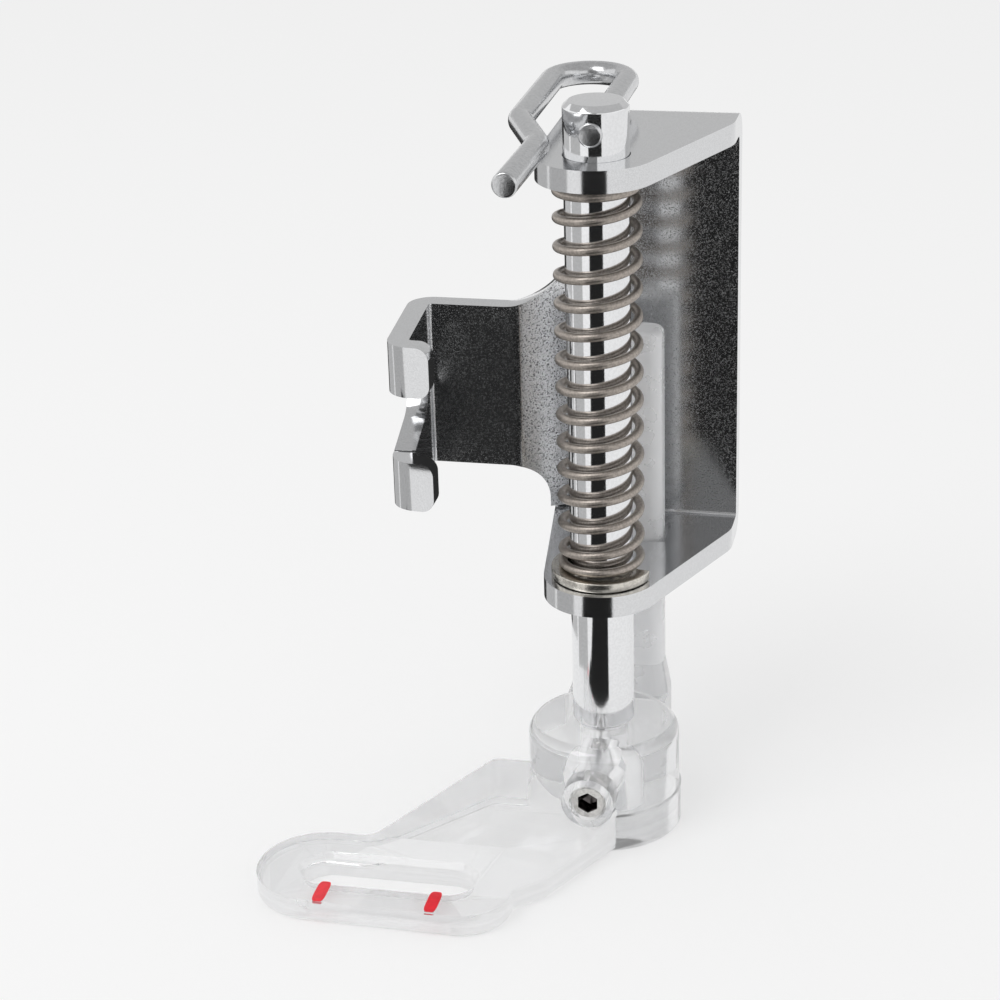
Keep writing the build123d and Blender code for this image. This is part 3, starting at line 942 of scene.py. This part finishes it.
def camera_matrix(own):
    """Camera placed by azimuth and elevation about its aim, then leaned by its roll."""
    az, el, lean = own.azimuth, own.elevation, own.roll
    back = Vector((math.sin(az) * math.cos(el), -math.cos(az) * math.cos(el), math.sin(el)))
    right = Vector((math.cos(az), math.sin(az), 0.0))
    up = back.cross(right)
    across = math.cos(lean) * right + math.sin(lean) * up
    head = -math.sin(lean) * right + math.cos(lean) * up
    place = (Vector(own.aim) + own.distance * back) * MM
    return Matrix.Translation(place) @ Matrix((across, head, back)).transposed().to_4x4()


def shown_rays(tree):
    """One for rays from the eye, off metal or through clear plastic, and nothing for the rest."""
    path = add_node(tree, "ShaderNodeLightPath")
    seen = add_node(tree, "ShaderNodeMath", operation="MAXIMUM")
    tree.links.new(path.outputs["Is Camera Ray"], seen.inputs[0])
    tree.links.new(path.outputs["Is Glossy Ray"], seen.inputs[1])
    shown = add_node(tree, "ShaderNodeMath", operation="MAXIMUM")
    tree.links.new(seen.outputs[0], shown.inputs[0])
    tree.links.new(path.outputs["Is Transmission Ray"], shown.inputs[1])
    return shown.outputs[0]


def world_light():
    """White surroundings for the eye, metal and clear plastic, and a softer level for matt faces."""
    white = (1.0, 1.0, 1.0, 1.0)
    world = bpy.data.worlds.new("studio")
    world.use_nodes = True
    tree = world.node_tree
    tree.nodes.clear()
    ambient = add_node(tree, "ShaderNodeBackground")
    ambient.inputs["Color"].default_value = white
    ambient.inputs["Strength"].default_value = 0.72
    backdrop = add_node(tree, "ShaderNodeBackground")
    backdrop.inputs["Color"].default_value = white
    mix = add_node(tree, "ShaderNodeMixShader")
    tree.links.new(shown_rays(tree), mix.inputs["Fac"])
    tree.links.new(ambient.outputs[0], mix.inputs[1])
    tree.links.new(backdrop.outputs[0], mix.inputs[2])
    output = add_node(tree, "ShaderNodeOutputWorld")
    tree.links.new(mix.outputs[0], output.inputs["Surface"])
    bpy.context.scene.world = world


def pale_floor(shade):
    """Matt floor that keeps half of the object's shadow over a white ground."""
    white_share = 0.5
    material, tree, shader = new_material("pale_floor")
    shader.inputs["Base Color"].default_value = (*shade, 1.0)
    shader.inputs["Roughness"].default_value = 0.9
    shader.inputs["Specular IOR Level"].default_value = 0.0
    share = add_node(tree, "ShaderNodeMath", operation="MULTIPLY")
    share.inputs[1].default_value = white_share
    tree.links.new(shown_rays(tree), share.inputs[0])
    ground = add_node(tree, "ShaderNodeEmission")
    mix = add_node(tree, "ShaderNodeMixShader")
    tree.links.new(share.outputs[0], mix.inputs["Fac"])
    tree.links.new(shader.outputs[0], mix.inputs[1])
    tree.links.new(ground.outputs[0], mix.inputs[2])
    output = next(item for item in tree.nodes if item.type == "OUTPUT_MATERIAL")
    tree.links.new(mix.outputs[0], output.inputs["Surface"])
    return material


def soft_box(name, place, aim, size, power):
    """Square area lamp at a place, turned to an aim, in millimetres and watts."""
    lamp = bpy.data.lights.new(name, "AREA")
    lamp.size = size * MM
    lamp.energy = power
    holder = bpy.data.objects.new(name, lamp)
    holder.location = Vector(place) * MM
    holder.rotation_euler = (Vector(place) - Vector(aim)).to_track_quat("Z", "Y").to_euler()
    bpy.context.scene.collection.objects.link(holder)


class PRESSERFOOT_OT_stage(bpy.types.Operator):
    """Camera at the photograph's angle, pale floor, soft light and cards for the metal to reflect"""

    bl_idname = "presser_foot.stage"
    bl_label = "Stage"

    def execute(self, context):
        own = settings().stage
        scene = context.scene
        lens = bpy.data.cameras.new("camera")
        lens.lens = own.lens
        lens.sensor_width = 36.0
        lens.clip_start = 0.01
        eye = bpy.data.objects.new("camera", lens)
        eye.matrix_world = camera_matrix(own)
        scene.collection.objects.link(eye)
        scene.camera = eye

        reach = 1500.0
        floor = bpy.data.meshes.new("floor")
        corners = np.array([(-reach, -reach, 0), (reach, -reach, 0), (reach, reach, 0), (-reach, reach, 0)])
        floor.from_pydata((corners * MM).tolist(), [], [(0, 1, 2, 3)])
        ground = bpy.data.objects.new("floor", floor)
        scene.collection.objects.link(ground)
        floor.materials.append(pale_floor(own.floor))

        card("front_card", wedge(near=17.5, far=400.0, height=0.3), shade=0.018, through=True)
        card("near_card", wedge(near=13.0, far=19.0, height=2.2), shade=0.018)
        card("left_card", sector(start=-86.0, end=-45.0, near=20.0, far=300.0, height=2.2), shade=0.5)
        card("back_card", upright(left=-600.0, right=600.0, depth=450.0, low=60.0, high=460.0), shade=0.6)
        card("behind_left_card", sector(start=-130.0, end=-92.0, near=30.0, far=300.0), shade=0.55)
        card("behind_card", sector(start=-181.0, end=-130.0, near=30.0, far=300.0), shade=0.04)
        # Dark cards in the fork's channel, in front of its mouth and under the lower lip, seen only in
        # reflections: a painted dark reflection on the arm
        card("fork_card", upright(left=-12.7, right=-8.0, depth=2.2, low=15.0, high=30.5), shade=0.03)
        card("mouth_card", upright(left=-18.0, right=-12.0, depth=-3.0, low=22.3, high=26.8), shade=0.03)
        card("under_card", upright(left=-18.0, right=-12.0, depth=-3.0, low=12.0, high=18.4), shade=0.03)
        card("eye_card", upright(left=-150.0, right=60.0, depth=-250.0, low=40.0, high=260.0), shade=0.25)
        card("ceiling_card", overhead(reach=500.0, height=420.0), shade=0.5)

        world_light()
        soft_box("key", place=(-160.0, -180.0, 320.0), aim=(0.0, 0.0, 20.0), size=220.0, power=0.4)
        scene.view_settings.view_transform = "Standard"
        scene.cycles.max_bounces = 32
        scene.cycles.glossy_bounces = 24
        scene.cycles.transmission_bounces = 24
        return {"FINISHED"}


class PresserFootSettings(bpy.types.PropertyGroup):
    """Everything that a user would change."""

    sheet: bpy.props.PointerProperty(name="Sheet", description="Bracket and snap ring", type=SheetSettings)
    rod: bpy.props.PointerProperty(name="Rod", description="Rod and lifting wire", type=RodSettings)
    spring: bpy.props.PointerProperty(name="Spring", description="Coil spring", type=SpringSettings)
    foot: bpy.props.PointerProperty(name="Foot", description="Foot, marks and screw", type=FootSettings)
    stage: bpy.props.PointerProperty(name="Stage", description="Camera and floor", type=StageSettings)


STEPS = (
    PRESSERFOOT_OT_bracket,
    PRESSERFOOT_OT_snap_ring,
    PRESSERFOOT_OT_rod,
    PRESSERFOOT_OT_lift_wire,
    PRESSERFOOT_OT_spring,
    PRESSERFOOT_OT_clear_foot,
    PRESSERFOOT_OT_guide_marks,
    PRESSERFOOT_OT_set_screw,
    PRESSERFOOT_OT_stage,
)


class PRESSERFOOT_PT_panel(bpy.types.Panel):
    """Lists the pieces in the order in which they are made"""

    bl_idname = "PRESSERFOOT_PT_panel"
    bl_label = "Presser foot"
    bl_space_type = "VIEW_3D"
    bl_region_type = "UI"
    bl_category = "Presser foot"

    def draw(self, context):
        for step in STEPS:
            self.layout.operator(step.bl_idname)


CLASSES = (
    SheetSettings,
    RodSettings,
    SpringSettings,
    FootSettings,
    StageSettings,
    PresserFootSettings,
    *STEPS,
    PRESSERFOOT_PT_panel,
)


def register():
    """Registers the classes and gives the scene its settings."""
    for item in CLASSES:
        bpy.utils.register_class(item)
    bpy.types.Scene.presser_foot = bpy.props.PointerProperty(type=PresserFootSettings)


def unregister():
    """Takes away the settings and the classes."""
    del bpy.types.Scene.presser_foot
    for item in reversed(CLASSES):
        bpy.utils.unregister_class(item)


def main():
    """Makes the pieces and the stage in order."""
    register()
    for step in STEPS:
        group, name = step.bl_idname.split(".")
        getattr(getattr(bpy.ops, group), name)()


if __name__ == "__main__":
    main()
